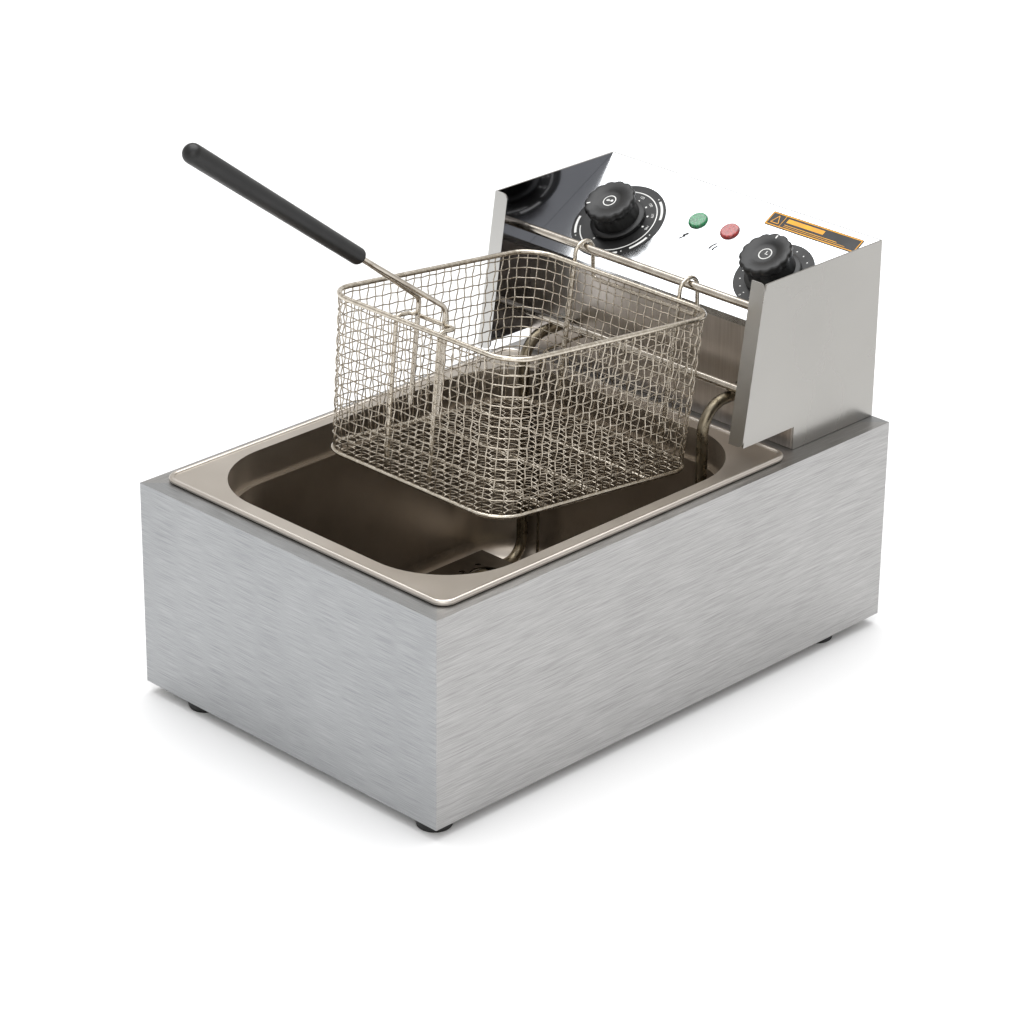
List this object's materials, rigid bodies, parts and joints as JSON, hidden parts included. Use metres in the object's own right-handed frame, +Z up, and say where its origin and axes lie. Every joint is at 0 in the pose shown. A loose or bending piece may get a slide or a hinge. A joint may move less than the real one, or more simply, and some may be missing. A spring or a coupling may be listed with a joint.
{
  "type": "deep fryer",
  "caption": "Countertop electric deep fryer with a lift-out steel oil tank, lift-off control head with heating element, and a hung wire basket with a handle.",
  "frame": {"origin": "centre of the whole fryer's bounding box in plan, on the worktop under the feet", "axes": "+Z up, -Y towards the front where the basket handle points, +X to the right seen from the front"},
  "size_m": [0.28, 0.5132, 0.439],
  "materials": {
    "brushed_casing": "horizontal brushed stainless sheet",
    "tank_steel": "deep-drawn stainless, satin inside, polished edge",
    "head_steel": "satin stainless sheet",
    "panel_steel": "mirror stainless sheet",
    "rod_steel": "polished stainless rod",
    "element_tube": "polished stainless tube",
    "brass_fittings": "turned",
    "zinc_screws": "zinc plated",
    "foot_rubber": "moulded",
    "black_knob_plastic": "moulded, satin",
    "control_body_plastic": "moulded",
    "shaft_steel": "turned",
    "dial_print": "screen-printed film",
    "green_lens": "clear tinted lens",
    "red_lens": "clear tinted lens",
    "label_film": "printed film",
    "black_fitting_plastic": "moulded",
    "basket_wire": "plated wire",
    "basket_mesh": "woven plated wire",
    "grip_vinyl": "dipped, satin"
  },
  "bodies": {
    "casing": {"casing_front_panel": "brushed_casing", "casing_left_panel": "brushed_casing", "casing_right_panel": "brushed_casing", "casing_rear_panel": "brushed_casing", "rear_deck": "brushed_casing", "base_plate": "brushed_casing", "foot_front_left": "foot_rubber", "foot_front_right": "foot_rubber", "foot_rear_left": "foot_rubber", "foot_rear_right": "foot_rubber", "foot_screws": "zinc_screws"},
    "oil_tank": {"oil_tank": "tank_steel"},
    "control_head": {"head_left_plate": "head_steel", "head_right_plate": "head_steel", "control_panel": "panel_steel", "head_front_plate": "head_steel", "head_floor": "head_steel", "head_rear_cover": "head_steel", "rear_cover_screws": "zinc_screws", "upper_basket_rod": "rod_steel", "lower_basket_rod": "rod_steel", "heating_element": "element_tube", "element_nuts": "brass_fittings", "thermostat_bulb": "element_tube", "thermostat_body": "control_body_plastic", "timer_body": "control_body_plastic", "thermostat_dial": "dial_print", "timer_dial": "dial_print", "green_lamp_lens": "green_lens", "red_lamp_lens": "red_lens", "green_lamp_body": "control_body_plastic", "red_lamp_body": "control_body_plastic", "hazard_label": "label_film", "terminal_block": "control_body_plastic", "cable_gland": "black_fitting_plastic", "overheat_cutout": "control_body_plastic", "reset_bush": "black_fitting_plastic"},
    "guard_plate": {"guard_plate": "tank_steel"},
    "thermostat_knob": {"thermostat_knob": "black_knob_plastic", "thermostat_shaft": "shaft_steel"},
    "timer_knob": {"timer_knob": "black_knob_plastic", "timer_shaft": "shaft_steel"},
    "reset_button": {"reset_button": "red_lens"},
    "basket": {"basket_rim": "basket_wire", "basket_mesh_walls": "basket_mesh", "basket_mesh_floor": "basket_mesh", "basket_bottom_frame": "basket_wire", "basket_cross_wires": "basket_wire", "basket_hanger": "basket_wire", "handle_socket": "basket_wire"},
    "handle": {"handle_wires": "basket_wire", "handle_grip": "grip_vinyl"}
  },
  "joints": [
    {"name": "tank_lift", "type": "slide", "parent": "casing", "child": "oil_tank", "axis": [0, 0, 1], "range_m": [0, 0.16]},
    {"name": "head_lift", "type": "slide", "parent": "oil_tank", "child": "control_head", "axis": [0, 0, 1], "range_m": [0, 0.17]},
    {"name": "guard_plate_lift", "type": "slide", "parent": "control_head", "child": "guard_plate", "axis": [0, 0, 1], "range_m": [0, 0.1]},
    {"name": "thermostat_turn", "type": "hinge", "parent": "control_head", "child": "thermostat_knob", "pos_m": [-0.072, 0.19576, 0.25732], "axis": [0, 0.4839, -0.8751], "range_deg": [0, 300]},
    {"name": "timer_turn", "type": "hinge", "parent": "control_head", "child": "timer_knob", "pos_m": [0.072, 0.19576, 0.25732], "axis": [0, 0.4839, -0.8751], "range_deg": [0, 300]},
    {"name": "reset_press", "type": "slide", "parent": "control_head", "child": "reset_button", "axis": [0, -1, 0], "range_m": [0, 0.0025], "stiffness_N_per_m": 600, "springref_m": -0.001},
    {"name": "basket_lift", "type": "slide", "parent": "control_head", "child": "basket", "axis": [0, 0, 1], "range_m": [0, 0.12]},
    {"name": "handle_lift", "type": "slide", "parent": "basket", "child": "handle", "axis": [0, 0.1097, 0.994], "range_m": [0, 0.09]}
  ]
}
